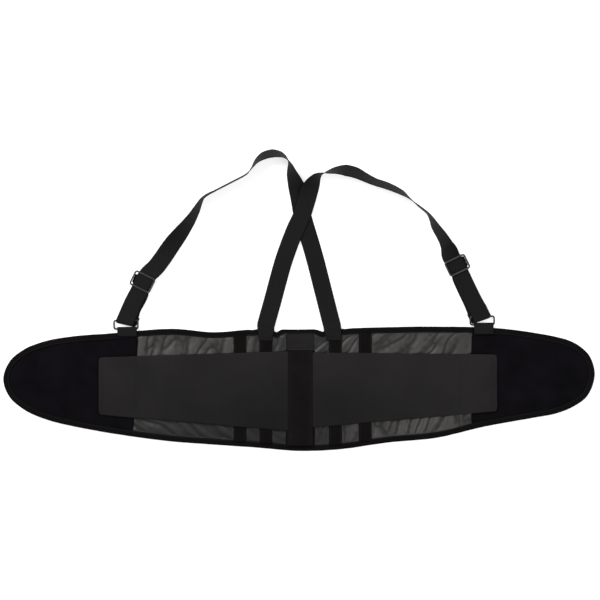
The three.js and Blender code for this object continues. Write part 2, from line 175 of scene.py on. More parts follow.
class Finish:
    """A Principled material with small helpers for procedural detail."""

    def __init__(self, name, rough, metallic=0.0, specular=0.5):
        self.material = bpy.data.materials.new(name)
        self.material.use_nodes = True
        self.tree = self.material.node_tree
        self.bsdf = self.tree.nodes["Principled BSDF"]
        self.bsdf.inputs["Roughness"].default_value = rough
        self.bsdf.inputs["Metallic"].default_value = metallic
        self.bsdf.inputs["Specular IOR Level"].default_value = specular
        self.normal = None

    def node(self, kind, numbers=(), **values):
        """A new node, with its plain inputs set from numbers and its own settings from values."""
        node = self.tree.nodes.new(kind)
        for key, value in values.items():
            setattr(node, key, value)
        for key, value in dict(numbers).items():
            node.inputs[key].default_value = value
        return node

    def link(self, source, target):
        self.tree.links.new(source, target)

    def math(self, operation, *inputs):
        node = self.node("ShaderNodeMath", operation=operation)
        for socket, value in zip(node.inputs, inputs):
            if isinstance(value, (int, float)):
                socket.default_value = value
            else:
                self.link(value, socket)
        return node.outputs[0]

    def uv(self):
        """The UV pair, in metres: x and y on a sheet, round and along on a swept piece."""
        node = self.node("ShaderNodeSeparateXYZ")
        self.link(self.node("ShaderNodeUVMap", uv_map="UVMap").outputs[0], node.inputs[0])
        return node.outputs[0], node.outputs[1]

    def place(self, stretch=(1, 1, 1), angle=0.0):
        """Object coordinates, stretched and turned about Z."""
        mapping = self.node("ShaderNodeMapping", {"Scale": stretch, "Rotation": (0, 0, angle)})
        self.link(self.node("ShaderNodeTexCoord").outputs["Object"], mapping.inputs[0])
        return mapping.outputs[0]

    def noise(self, scale, detail=3.0, roughness=0.55, stretch=(1, 1, 1), angle=0.0, distortion=0.0):
        numbers = {"Scale": scale, "Detail": detail, "Roughness": roughness, "Distortion": distortion}
        node = self.node("ShaderNodeTexNoise", numbers)
        self.link(self.place(stretch, angle), node.inputs["Vector"])
        return node.outputs["Fac"]

    def dots(self, scale, randomness):
        """Distance from the middles of small cells that lie in rough rows."""
        node = self.node("ShaderNodeTexVoronoi", {"Scale": scale, "Randomness": randomness})
        self.link(self.place(), node.inputs["Vector"])
        return node.outputs["Distance"]

    def ramp(self, value, stops):
        node = self.node("ShaderNodeValToRGB")
        elements = node.color_ramp.elements
        while len(elements) < len(stops):
            elements.new(0.5)
        for element, (position, color) in zip(elements, stops):
            element.position = position
            element.color = (*color, 1)
        self.link(value, node.inputs[0])
        return node.outputs[0]

    def paint(self, color):
        self.link(color, self.bsdf.inputs["Base Color"])

    def color(self, value, dark, light, low=0.3, high=0.7):
        self.paint(self.ramp(value, [(low, dark), (high, light)]))

    def map_range(self, value, start, end, low=0.0, high=1.0):
        """low where value is start, high where it is end, and in between or held beyond them."""
        numbers = {"From Min": start, "From Max": end, "To Min": low, "To Max": high}
        node = self.node("ShaderNodeMapRange", numbers)
        self.link(value, node.inputs["Value"])
        return node.outputs[0]

    def darker(self, color, share):
        """The colour with that share of it taken away, for painted shade."""
        color_a, color_b, color_out = 6, 7, 2
        node = self.node("ShaderNodeMix", data_type="RGBA", blend_type="MIX")
        self.link(share, node.inputs["Factor"])
        self.link(color, node.inputs[color_a])
        node.inputs[color_b].default_value = (0, 0, 0, 1)
        return node.outputs[color_out]

    def rough(self, value, low, high):
        self.link(self.map_range(value, 0, 1, low, high), self.bsdf.inputs["Roughness"])

    def bump(self, height, depth, strength=1.0):
        node = self.node("ShaderNodeBump", {"Distance": depth, "Strength": strength})
        self.link(height, node.inputs["Height"])
        if self.normal is not None:
            self.link(self.normal, node.inputs["Normal"])
        self.normal = node.outputs[0]
        self.link(self.normal, self.bsdf.inputs["Normal"])

    def weave(self, across, along):
        """Plain weave height from 0 to 1: yarns of those widths, over and under in turn."""
        u, v = self.uv()
        row = self.math("FLOOR", self.math("DIVIDE", u, across))
        yarn = self.ribs(across)
        phase = self.math("ADD", self.math("MULTIPLY", v, math.pi / along),
                          self.math("MULTIPLY", row, math.pi))
        over = self.math("MULTIPLY_ADD", self.math("SINE", phase), 0.5, 0.5)
        return self.math("MULTIPLY", yarn, self.math("MULTIPLY_ADD", over, 0.7, 0.3))

    def ribs(self, pitch):
        """Height from 0 to 1 of ribs that lie side by side."""
        turn = self.math("MULTIPLY", self.uv()[0], math.pi / pitch)
        return self.math("ABSOLUTE", self.math("SINE", turn))


def grey(level, warmth=0.0):
    return (level * (1 + warmth), level, level * (1 - warmth))


def velour():
    finish = Finish("velour", 0.95, specular=0.03)
    patches = finish.noise(22, detail=5)
    finish.color(patches, (0.0022, 0.0019, 0.0027), (0.0042, 0.0035, 0.0048))
    finish.bump(finish.noise(900, detail=2), 0.0005, 0.6)
    finish.bump(finish.noise(60, detail=4, stretch=(1, 2.2, 1)), 0.0008, 0.35)
    return finish.material


def cloth(name, rough, specular, clouds, low, high, yarns, depth, strength):
    """Plain woven cloth or tape; yarns are the widths of one yarn across and along."""
    finish = Finish(name, rough, specular=specular)
    finish.color(finish.noise(clouds, detail=4), low, high)
    finish.bump(finish.weave(*yarns), depth, strength)
    return finish.material


def tape(name, low, high, yarns):
    """Narrow woven tape, as on the binding, the channels and the column."""
    return cloth(name, 0.8, 0.05, 28, low, high, yarns, 0.0003, 0.6)


def elastic():
    """Ribbed elastic, with painted shade toward the bands' lower edge and the column."""
    finish = Finish("woven_elastic", 0.75, specular=0.12)
    cloudy = finish.noise(9, detail=5, distortion=0.4)
    tint = finish.ramp(cloudy, [(0.32, (0.0080, 0.0070, 0.0076)), (0.68, (0.0120, 0.0107, 0.0114))])
    x, y = finish.uv()
    # Painted shade: darker toward the lower edge, most of all near the column.
    low = finish.map_range(y, -0.11, -0.205)
    inner = finish.map_range(finish.math("ABSOLUTE", finish.math("SUBTRACT", x, -0.03)), 0.34, 0.04)
    painted_shade = finish.math("MULTIPLY", low, finish.math("MULTIPLY_ADD", inner, 0.34, 0.12))
    finish.paint(finish.darker(tint, painted_shade))
    finish.bump(finish.ribs(0.0016), 0.0003, 0.4)
    finish.bump(finish.weave(0.0016, 0.0011), 0.0002, 0.4)
    return finish.material


def mesh_fabric():
    """Thin satin-like mesh, with painted shade in its creases, beside the column, at the right end and at
    the lower left, and a painted highlight on its ridges.
    """
    finish = Finish("crinkled_mesh", 0.45, specular=0.3)
    # The fold attribute paints shade into the creases and a highlight onto the ridges; the streaks are
    # random tone.
    fold = finish.node("ShaderNodeAttribute", attribute_name="fold").outputs["Fac"]
    streaks = finish.noise(26, detail=6, stretch=(1, 0.45, 1), angle=0.7, distortion=0.8)
    streaks_and_fold_shade = finish.math("MULTIPLY_ADD", finish.math("SUBTRACT", streaks, 0.5), 0.5, fold)
    tint = finish.ramp(streaks_and_fold_shade, [(0.04, grey(0.005, 0.06)), (0.26, grey(0.0115, 0.06)),
                               (0.48, grey(0.0185, 0.06)), (0.84, grey(0.034, 0.06))])
    # Painted shade beside the column, at the right end and at the lower left.
    x, y = finish.uv()
    from_centre = finish.math("ABSOLUTE", finish.math("SUBTRACT", x, 0.012))
    centre = finish.map_range(from_centre, 0.11, 0.045, 0.0, 0.78)
    right_end = finish.map_range(x, 0.25, 0.31, 0.0, 0.42)
    lower_left_shade = finish.math("MULTIPLY", finish.map_range(y, -0.14, -0.19),
                             finish.map_range(x, -0.31, -0.08, 0.62, 0.88))
    lower_left_shade = finish.math("MULTIPLY", lower_left_shade, finish.map_range(x, 0.0, -0.02))
    painted_shade = finish.math("MAXIMUM", finish.math("MAXIMUM", centre, right_end), lower_left_shade)
    finish.paint(finish.darker(tint, painted_shade))
    finish.rough(streaks, 0.56, 0.40)
    finish.bump(finish.dots(760, 0.2), 0.00018, 0.35)
    finish.bump(streaks, 0.003, 0.25)
    return finish.material


def webbing():
    finish = Finish("harness_webbing", 0.6, specular=0.1)
    yarns = finish.weave(0.0016, 0.0022)
    finish.color(yarns, (0.0029, 0.0029, 0.0033), (0.0063, 0.0063, 0.0072), 0.1, 0.8)
    finish.rough(yarns, 0.75, 0.52)
    finish.bump(yarns, 0.00045, 0.7)
    finish.bump(finish.noise(70, detail=3), 0.0006, 0.25)
    return finish.material


def thread(name, level):
    finish = Finish(name, 0.55, specular=0.2)
    finish.color(finish.noise(400), grey(level * 0.7), grey(level * 1.2))
    finish.bump(finish.noise(2500, detail=1), 0.0001, 0.5)
    return finish.material


def coated_wire(name, level, rough, metallic):
    finish = Finish(name, rough, metallic=metallic, specular=0.4)
    wear = finish.noise(160, detail=6, roughness=0.7)
    stops = ((0.3, 1), (0.62, 1.25), (0.74, 2.4))
    finish.paint(finish.ramp(wear, [(place, grey(level * gain)) for place, gain in stops]))
    finish.rough(finish.noise(90, detail=4), rough * 0.75, rough * 1.3)
    finish.bump(finish.noise(700, detail=2), 0.00006, 0.35)
    return finish.material


def hook_tape():
    finish = Finish("hook_tape", 0.7, specular=0.4)
    hooks = finish.dots(700, 0.25)
    finish.color(hooks, grey(0.010), grey(0.004), 0.1, 0.6)
    finish.bump(finish.math("SUBTRACT", 1.0, hooks), 0.0008, 0.8)
    return finish.material


def spring_steel():
    finish = Finish("spring_steel", 0.35, metallic=1.0)
    brushed = finish.noise(60, detail=5, stretch=(12, 1, 1))
    finish.color(brushed, grey(0.42), grey(0.58))
    finish.rough(brushed, 0.28, 0.45)
    return finish.material


MATERIALS = {
    "velour": velour(),
    "lining": cloth("lining", 0.9, 0.1, 35, grey(0.0095), grey(0.0145), (0.0011, 0.0009), 0.00025, 0.7),
    "elastic": elastic(),
    "mesh": mesh_fabric(),
    "centre_panel": cloth("spacer_fabric", 0.85, 0.12, 18, (0.0078, 0.0071, 0.0070),
                          (0.0115, 0.0105, 0.0103), (0.0022, 0.0022), 0.0004, 0.6),
    "binding": tape("edge_tape", (0.0022, 0.0018, 0.0020), (0.0034, 0.0029, 0.0031), (0.0009, 0.0014)),
    "channel": tape("channel_tape", (0.0022, 0.0016, 0.0018), (0.0036, 0.0028, 0.0030), (0.0013, 0.0013)),
    "column": tape("column_webbing", (0.0034, 0.0027, 0.0029), (0.0052, 0.0043, 0.0046), (0.0018, 0.0016)),
    "webbing": webbing(),
    "thread": thread("black_thread", 0.008),
    "hem_thread": thread("hem_thread", 0.035),
    "ring_metal": coated_wire("ring_wire", 0.010, 0.4, 0.0),
    "slider_metal": coated_wire("slider_wire", 0.030, 0.38, 0.3),
    "hook": hook_tape(),
    "stay_steel": spring_steel(),
}


# ---- mesh helpers ----

def add_object(name, data):
    thing = bpy.data.objects.new(name, data)
    bpy.context.scene.collection.objects.link(thing)
    return thing


def unit(vector):
    return vector / np.linalg.norm(vector)


def make(name, vertices, faces, material, uvs, folds=None):
    """A smooth mesh object from millimetre points, with one UV pair in metres for each vertex.

    folds is a value for each vertex, from 0 in a crease to 1 on a ridge, for the material's painted shade
    and painted highlight.
    """
    mesh = bpy.data.meshes.new(name)
    mesh.from_pydata([tuple(np.array(v) * MM) for v in vertices], [], faces)
    if folds is not None:
        mesh.attributes.new("fold", "FLOAT", "POINT").data.foreach_set("value", folds)
    layer = mesh.uv_layers.new(name="UVMap")
    for loop in mesh.loops:
        layer.data[loop.index].uv = uvs[loop.vertex_index]
    shell = bmesh.new()
    shell.from_mesh(mesh)
    bmesh.ops.recalc_face_normals(shell, faces=shell.faces)
    shell.to_mesh(mesh)
    shell.free()
    mesh.polygons.foreach_set("use_smooth", [True] * len(mesh.polygons))
    mesh.materials.append(MATERIALS[material])
    piece = add_object(name, mesh)
    return piece


def grid_piece(name, point, columns, rows, material, folds=None):
    """A closed sheet. point(s, t) gives x, y, its lower z and its upper z."""
    upper, lower, uvs = [], [], []
    for i in range(columns + 1):
        for j in range(rows + 1):
            x, y, low, high = point(i / columns, j / rows)
            upper.append((x, y, high))
            lower.append((x, y, low))
            uvs.append((x * MM, y * MM))
    count = len(upper)
    step = rows + 1
    faces = []
    for i in range(columns):
        for j in range(rows):
            first = i * step + j
            quad = (first, first + step, first + step + 1, first + 1)
            faces.append(quad)
            faces.append(tuple(k + count for k in reversed(quad)))
    rim = [i * step for i in range(columns)] + [columns * step + j for j in range(rows)]
    rim += [i * step + rows for i in range(columns, 0, -1)] + list(range(rows, 0, -1))
    for a, b in zip(rim, rim[1:] + rim[:1]):
        faces.append((b, a, a + count, b + count))
    return make(name, upper + lower, faces, material, uvs + uvs, folds)


def distances(path):
    """How far along a path each of its points is."""
    return np.concatenate([[0], np.cumsum(np.linalg.norm(np.diff(path, axis=0), axis=1))])


def tube_faces(count, sides, base=0, closed=False):
    """Faces of a tube of count rings with so many sides; base is its first vertex."""
    faces = []
    for k in range(count if closed else count - 1):
        near, far = base + k * sides, base + (k + 1) % count * sides
        for i in range(sides):
            j = (i + 1) % sides
            faces.append((near + i, far + i, far + j, near + j))
    if not closed:
        last = base + (count - 1) * sides
        faces.append(tuple(range(base, base + sides)))
        faces.append(tuple(reversed(range(last, last + sides))))
    return faces


def sweep(name, centres, across, over, profile, material, closed=False):
    """A closed profile of (a, b) points carried along centres: a along across, b along over."""
    centres = np.array(centres, float)
    lengths, around = distances(centres), distances(profile)
    vertices, uvs = [], []
    for k, centre in enumerate(centres):
        for (a, b), r in zip(profile, around):
            vertices.append(centre + across[k] * a + over[k] * b)
            uvs.append((r * MM, lengths[k] * MM))
    faces = tube_faces(len(centres), len(profile), closed=closed)
    return make(name, vertices, faces, material, uvs)


def stitches(name, path, material="thread", pitch=3.4, length=2.3, radius=0.42, lift=0.12):
    """A row of separate thread stitches along a path of millimetre points, lying on it."""
    path = np.array(path, float)
    along = distances(path)

    def place(distance):
        return np.array([np.interp(distance, along, path[:, k]) for k in range(3)])

    vertices, faces, uvs = [], [], []
    # Each ring of a stitch: its place along it, its size, and how far it rises, as shares.
    sides, rings = 6, ((-0.5, 0.35, -0.3), (-0.25, 0.9, 0.1), (0.25, 0.9, 0.1), (0.5, 0.35, -0.3))
    for middle in np.arange(pitch / 2, along[-1], pitch):
        centre = place(middle)
        ahead = unit(place(min(middle + 0.5, along[-1])) - place(max(middle - 0.5, 0)))
        side = unit(np.cross(ahead, UP))
        top = np.cross(side, ahead)
        faces += tube_faces(len(rings), sides, base=len(vertices))
        for where, size, height in rings:
            hub = centre + ahead * where * length + top * (lift + height * radius)
            for k in range(sides):
                turn = 2 * math.pi * k / sides
                spoke = side * math.cos(turn) + top * math.sin(turn)
                vertices.append(hub + spoke * radius * size)
                uvs.append((k * 0.0003, where * length * MM))
    return make(name, vertices, faces, material, uvs)


def ripple(x, y, size, seed=0.0):
    """Smooth repeatable noise from -1 to 1 over the XY plane, about size millimetres across."""
    return noise.noise(Vector((x / size, y / size, seed)))


def smooth_step(value, low, high):
    t = min(max((value - low) / (high - low), 0.0), 1.0)
    return t * t * (3 - 2 * t)


# ---- the belt's layers, in millimetres above the surface it lies on ----

FACE_LOW, FACE_TOP = levels("left_flap_face_outer")
LINING_LOW, LINING_TOP = levels("left_flap_lining_outer")
MESH_LOW, MESH_TOP = levels("mesh_panel_left")
CHANNEL_LOW, CHANNEL_TOP = levels("stay_channel_left_outer")
BAND_TOP = levels("left_band")[1]
TUCK = 4.5                       # how far a panel's edge goes under the binding

TUCKED_BOTTOM, TUCKED_TOP = edge_functions(TUCK)
INNER_BOTTOM, INNER_TOP = edge_functions(BINDING)


def tucked(x, t):
    """y at share t of the way from the bottom edge to the top edge, both under the binding."""
    low, high = TUCKED_BOTTOM(x), TUCKED_TOP(x)
    return low + (high - low) * t


def edge_distance(x, y):
    """About how far a point is inside the binding's inner edge, never below 0."""
    return max(0.0, min(INNER_TOP(x) - y, y - INNER_BOTTOM(x)))


def flat_area(left, right):
    """Area in square metres of the belt between two x values, out to the panels' tucked edges."""
    x = np.linspace(left, right, 200)
    return float(np.trapz(TUCKED_TOP(x) - TUCKED_BOTTOM(x), x)) * MM * MM


def corner_cut(near, corner):
    """How far a rounded corner cuts in, at a distance near from the piece's end."""
    return corner - math.sqrt(max(corner ** 2 - (corner - near) ** 2, 0)) if near < corner else 0


# ---- flaps: velour face, lining and closure patch ----

TIP_X = {"left": OUTLINE[LEFT_TIP][0], "right": OUTLINE[RIGHT_TIP][0]}
MIDDLE_Y = -150


def flap_x(side, s, start):
    """x from the seam side out to the tip, with columns closing up towards the round end."""
    sign = SIGN[side]
    tip = TIP_X[side] - sign * TUCK
    return start + (tip - start) * math.sin(s * math.pi / 2) ** 0.85 - sign * 0.02


def flap_point(side, s, t, lap):
    """A flap's point at shares s out from the seam and t up; the flap goes on past the seam by lap."""
    y_guess = tucked(flap_x(side, s, seam_x(side, MIDDLE_Y)), t)
    x = flap_x(side, s, seam_x(side, y_guess) - SIGN[side] * lap)
    return x, tucked(x, t)


def build_flap(side):
    def face(s, t):
        x, y = flap_point(side, s, t, 3)
        inside = smooth_step(edge_distance(x, y), 0, 9)
        swell = 0.9 * inside + 0.35 * ripple(x, y, 60, 3) * inside + 0.16 * ripple(x, y, 17, 5)
        pressed = 0.2 if band_covers(side, x, y) else 1.0
        return x, y, FACE_LOW - 0.2, FACE_TOP - 0.5 + swell * pressed

    def back(s, t):
        x, y = flap_point(side, s, t, 0)
        dip = 0.25 * ripple(x, y, 40, 9) + 0.3 * smooth_step(edge_distance(x, y), 0, 8)
        return x, y, LINING_LOW + 0.15 - dip, LINING_TOP

    span = sorted((SEAM[side][0][0], TIP_X[side] - SIGN[side] * TUCK))
    layers = (("velour", face, "velour", "face"), ("back", back, "lining", "lining"))
    for name, shape, material, kind in layers:
        piece = grid_piece(f"{side}_flap_{name}", shape, 96, 56, material)
        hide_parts(f"{side}_flap_{kind}_inner", f"{side}_flap_{kind}_outer")
        flat_area(*span)
        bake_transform(piece)


def build_closure_patch():
    low, high = extent("closure_hook_patch")
    corner, inset = 10, 3

    def patch(s, t):
        x = low[0] + (high[0] - low[0]) * s
        cut = corner_cut(min(x - low[0], high[0] - x), corner)
        y = low[1] + cut + (high[1] - low[1] - 2 * cut) * t
        return x, y, low[2] + 0.02, high[2] + 0.1

    piece = grid_piece("closure_hook_tape", patch, 60, 24, "hook")
    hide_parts("closure_hook_patch")
    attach(piece, "right_flap")
    (x0, y0), (x1, y1) = low[:2] + inset, high[:2] - inset
    slant = corner - inset
    ring = [(x0, y0 + slant), (x0, y1 - slant), (x0 + slant, y1), (x1 - slant, y1), (x1, y1 - slant),
            (x1, y0 + slant), (x1 - slant, y0), (x0 + slant, y0), (x0, y0 + slant)]
    row = stitches("closure_hook_stitches", [(x, y, low[2]) for x, y in ring], lift=0.1, radius=0.25)
    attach(row, "right_flap")


# ---- elastic side-pull bands ----

# y of a band's edges at its root and at its free end, and x of that end, by side.
# A root's lower corner is 5 or 6 mm lower than the design's.
BAND_LINES = {
    "left": {"root_top": -92, "root_bottom": -235, "end_top": -103, "end_bottom": -206, "end_x": -360},
    "right": {"root_top": -94, "root_bottom": -229, "end_top": -98, "end_bottom": -200, "end_x": 356},
}


def band_edge(side, x, which):
    lines = BAND_LINES[side]
    root = COLUMN[side]
    share = (x - root) / (lines["end_x"] - root)
    return lines[f"root_{which}"] + (lines[f"end_{which}"] - lines[f"root_{which}"]) * share


def band_covers(side, x, y, margin=0.0):
    reach = BAND_LINES[side]["end_x"]
    inside_x = (x - reach) * SIGN[side] < margin
    return inside_x and band_edge(side, x, "bottom") - margin < y < band_edge(side, x, "top") + margin


CHANNELS = {}
for _name in ("left_outer", "left_inner", "right_inner", "right_outer"):
    _low, _high = extent(f"stay_channel_{_name}")
    CHANNELS[_name] = ((_low[0] + _high[0]) / 2, (_high[0] - _low[0]) / 2)


def channel_bulge(x):
    """1 over a stay channel, falling to 0 beside it."""
    return max(1 - smooth_step(abs(x - middle), half - 2, half + 9) for middle, half in CHANNELS.values())


def build_band(side):
    sign = SIGN[side]
    root = COLUMN[side] - sign * 2.5
    end = BAND_LINES[side]["end_x"]
    corner = 6.0

    def band(s, t):
        x = root + (end - root) * s
        near = abs(end - x)
        cut = corner_cut(near, corner)
        low_y, high_y = band_edge(side, x, "bottom") + cut, band_edge(side, x, "top") - cut
        y = low_y + (high_y - low_y) * t + 0.45 * ripple(x, 300 * sign, 46, 2)
        rim = min(t, 1 - t) * (high_y - low_y)
        selvedge = 0.45 * (1 - smooth_step(min(rim, near), 0, 2.2))
        soft = 0.3 * ripple(x, y, 70, 7) + 0.12 * ripple(x, y, 24, 8)
        high = BAND_TOP - 0.75 + 0.525 * channel_bulge(x) + soft - selvedge
        return x, y, high - 1.7 + selvedge * 1.2, high

    piece = grid_piece(f"{side}_pull_band", band, 150, 60, "elastic")
    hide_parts(f"{side}_band")
    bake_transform(piece)
    build_band_stitches(side, end, BAND_TOP - 0.62)
    build_band_hook(side)


def build_band_stitches(side, end, height):
    """Two rows of stitching across the free end, and one where the hook patch under it ends."""
    rows = (("end_stitches_0", 5, 5), ("end_stitches_1", 9, 5), ("hook_stitches", 67, 7))
    for name, inset, margin in rows:
        x = end - SIGN[side] * inset
        low_y, high_y = band_edge(side, x, "bottom") + margin, band_edge(side, x, "top") - margin
        line = [(x, y, height + 0.3 * ripple(x, y, 70, 7)) for y in np.linspace(low_y, high_y, 40)]
        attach(stitches(f"{side}_band_{name}", line), f"{side}_band")


def build_band_hook(side):
    low, high = extent(f"{side}_band_hook")
    margin = 5

    def patch(s, t):
        x = low[0] + (high[0] - low[0]) * s
        bottom, top = band_edge(side, x, "bottom") + margin, band_edge(side, x, "top") - margin
        y = bottom + (top - bottom) * t
        return x, y, high[2] - 1.3, high[2] - 0.2

    piece = grid_piece(f"{side}_band_hook_tape", patch, 26, 40, "hook")
    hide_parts(f"{side}_band_hook")
    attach(piece, f"{side}_band")


# ---- mesh back, centre panel, channels, column ----

FOLD_STIFFNESS = 7.0             # the cloth's bending stiffness
SPARE_CLOTH = 0.085              # the mesh is this much longer than the space it is sewn into
MESH_PITCH = 2.1                 # between the points of a mesh back
MESH_HEIGHT = 205                # about, for the number of its rows
# How the folds lean from the belt's length, in degrees, above the band and below it.
FOLD_LEAN = {"left": (70, -36), "right": (43, 76)}
FOLD_WIDTH = {"left": 17, "right": 15}           # of the low ridges that the folds grow from


def gathered(points, rest, faces, pinned):
    """Where a sheet's points go when it is too large for its pinned frame: it buckles into folds.

    rest is the sheet's own shape when nothing holds it. The cloth is simulated at ten times its
    size, and the result is in millimetres again.
    """
    scale = 0.01
    mesh = bpy.data.meshes.new("gather")
    mesh.from_pydata([tuple(np.array(p) * scale) for p in points], [], faces)
    sheet = add_object("gather", mesh)
    sheet.vertex_groups.new(name="sewn").add(pinned, 1.0, "REPLACE")
    sheet.shape_key_add(name="held")
    free = sheet.shape_key_add(name="free")
    free.data.foreach_set("co", (np.array(rest) * scale).ravel())
    cloth = sheet.modifiers.new("cloth", "CLOTH")
    cloth.collision_settings.use_collision = False
    settings = cloth.settings
    settings.quality = 5
    settings.mass = 0.2
    settings.tension_stiffness = settings.compression_stiffness = 20
    settings.shear_stiffness = 5
    settings.bending_stiffness = FOLD_STIFFNESS
    settings.air_damping = 2
    settings.vertex_group_mass = "sewn"
    settings.rest_shape_key = free
    settings.effector_weights.gravity = 0
    for step in range(1, 31):
        bpy.context.scene.frame_set(step)
    graph = bpy.context.evaluated_depsgraph_get()
    result = sheet.evaluated_get(graph).to_mesh()
    moved = np.array([v.co for v in result.vertices]) / scale
    bpy.data.objects.remove(sheet)
    bpy.context.scene.frame_set(1)
    return moved


def neighbours(values):
    """The mean of each grid value and the eight round it."""
    padded = np.pad(values, 1, mode="edge")
    rows, columns = values.shape
    return sum(padded[i:i + rows, j:j + columns] for i in range(3) for j in range(3)) / 9


def fold_shade_and_highlight(heights, pinned):
    """0 in the creases and 1 on the ridges of a grid of heights, and 0.5 where it is flat: painted shade
    and painted highlight for the material.
    """
    sewn = np.zeros(heights.size)
    sewn[pinned] = 1
    free = neighbours(sewn.reshape(heights.shape)) == 0
    bend = (heights - neighbours(heights)) * free / 0.16
    return (0.5 + 0.5 * np.tanh(bend + heights / 3.5)).ravel()


def across_folds(side, x, y):
    """Unit vector across the folds: they run one way above the band and another way below it."""
    middle = (TUCKED_BOTTOM(x) + TUCKED_TOP(x)) / 2
    above, below = FOLD_LEAN[side]
    lean = math.radians(above if y > middle else below)
    return np.array([-math.sin(lean), math.cos(lean), 0.0])


def loose_shape(side, x, y):
    """Where a point of the mesh would lie if its gathers were let out."""
    across = across_folds(side, x, y)
    return np.array([x, y, 0.0]) + across * (across[0] * x + across[1] * y) * SPARE_CLOTH


def fold_start(side, x, y):
    """Low long ridges, in millimetres, that the folds grow from."""
    across = across_folds(side, x, y)
    over = across[0] * x + across[1] * y + 7 * ripple(x, y, 48, 15)
    along = across[1] * x - across[0] * y
    ridge = noise.noise(Vector((over / FOLD_WIDTH[side], along / 55, 1.5 + SIGN[side])))
    return 2.4 * (3 * abs(ridge) - 0.6) + 0.4 * ripple(x, y, 9, 4)


def build_mesh_panel(side):
    sign = SIGN[side]
    column = COLUMN[side]
    seam_end = SEAM[side][0][0]
    columns = round(abs(seam_end - column) / MESH_PITCH)
    rows = round(MESH_HEIGHT / MESH_PITCH)
    points, rest, faces, pinned = [], [], [], []
    for i in range(columns + 1):
        for j in range(rows + 1):
            y = tucked((column + seam_end) / 2, j / rows)
            x = column + (seam_x(side, y) + sign * 3 - column) * i / columns
            y = tucked(x, j / rows)
            sewn = edge_distance(x, y) < 0.5 or channel_bulge(x) > 0.85
            sewn = sewn or abs(x - column) < 2 or (seam_x(side, y) - x) * sign < 1
            if sewn:
                pinned.append(len(points))
            points.append((x, y, 0.0 if sewn else fold_start(side, x, y)))
            rest.append(loose_shape(side, x, y))
            if i < columns and j < rows:
                at = i * (rows + 1) + j
                faces.append((at, at + rows + 1, at + rows + 2, at + 1))
    moved = gathered(points, rest, faces, pinned)

    def panel(s, t):
        at = round(s * columns) * (rows + 1) + round(t * rows)
        x, y, z = moved[at]
        rise = 2.2 * math.tanh(z / 2.4)
        rise *= 0.25 if band_covers(side, x, y, -2) else 1.0
        free = smooth_step((seam_x(side, y) - x) * sign, 0, 7)
        high = MESH_TOP - 0.25 + (1.25 + rise) * free
        return x, y, max(MESH_LOW, high - 1.3), high

    # Painted shade in the creases and painted highlight on the ridges, stored as the fold attribute.
    folds = fold_shade_and_highlight(moved[:, 2].reshape(columns + 1, rows + 1), pinned)
    piece = grid_piece(f"{side}_mesh_back", panel, columns, rows, "mesh", np.concatenate([folds, folds]))
    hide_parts(f"mesh_panel_{side}")
    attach(piece, "belt")
    span = sorted((column, seam_end))
    flat_area(*span)


def build_centre_panel():
    left, right = COLUMN["left"] - 0.8, COLUMN["right"] + 0.8

    def panel(s, t):
        x = left + (right - left) * s
        y = tucked(x, t)
        puff = 1.1 * smooth_step(min(s, 1 - s), 0, 0.12) * smooth_step(edge_distance(x, y), 0, 5)
        return x, y, MESH_LOW, MESH_TOP + 0.5 + puff + 0.15 * ripple(x, y, 12, 6)

    piece = grid_piece("centre_spacer_panel", panel, 40, 130, "centre_panel")
    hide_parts("centre_panel")
    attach(piece, "belt")
    flat_area(left, right)


def strip_section(half, low, high, crown):
    """A closed section of a low padded strip."""
    steps = 12
    top = []
    for i in range(steps + 1):
        u = -1 + 2 * i / steps
        top.append((half * u, high - crown * (u * u) - (0.9 if i in (0, steps) else 0)))
    return top + [(half, low), (-half, low)]


def upright_strip(name, x, y0, y1, section, material):
    centres = [(x, y, 0) for y in np.linspace(y0, y1, 61)]
    across = [np.array([1.0, 0, 0])] * len(centres)
    return sweep(name, centres, across, [UP] * len(centres), section, material)


def upright_line(x, y0, y1, z, count):
    return [(x, y, z) for y in np.linspace(y0, y1, count)]


def build_channels():
    for name, (x, half) in CHANNELS.items():
        low_y, high_y = INNER_BOTTOM(x) - 3, INNER_TOP(x) + 3
        section = strip_section(half, CHANNEL_LOW - 0.3, CHANNEL_TOP + 0.12, 0.7)
        piece = upright_strip(f"{name}_channel_tape", x, low_y, high_y, section, "channel")
        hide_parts(f"stay_channel_{name}")
        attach(piece, "belt")
        for letter, edge in (("a", -1), ("b", 1)):
            line = upright_line(x + edge * (half - 2.2), low_y + 3, high_y - 3, CHANNEL_TOP - 0.45, 30)
            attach(stitches(f"{name}_channel_stitches_{letter}", line), "belt")


def build_column():
    left, right = COLUMN["left"], COLUMN["right"]
    middle, half = (left + right) / 2, (right - left) / 2
    top = levels("centre_column")[1]
    section = strip_section(half, MESH_TOP + 0.6, top, 0.5)
    low_y = INNER_BOTTOM(middle) - 2
    piece = upright_strip("centre_column_webbing", middle, low_y, COLUMN_TOP, section, "column")
    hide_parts("centre_column")
    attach(piece, "belt")
    for letter, edge in (("a", -1), ("b", 1)):
        for k, inset in enumerate((4.4, 8.2)):
            x = middle + edge * (half - inset)
            level = top - 0.5 * ((x - middle) / half) ** 2 - 0.1
            line = upright_line(x, INNER_BOTTOM(x) + 2, COLUMN_TOP - 3, level, 60)
            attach(stitches(f"column_stitches_{letter}{k}", line), "belt")
    hem = [(x, COLUMN_TOP + 0.9, MESH_TOP + 1.9) for x in np.linspace(left + 3, right - 3, 24)]
    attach(stitches("column_hem_stitches", hem, material="hem_thread", length=2.7, radius=0.55), "belt")


# ---- edge binding ----

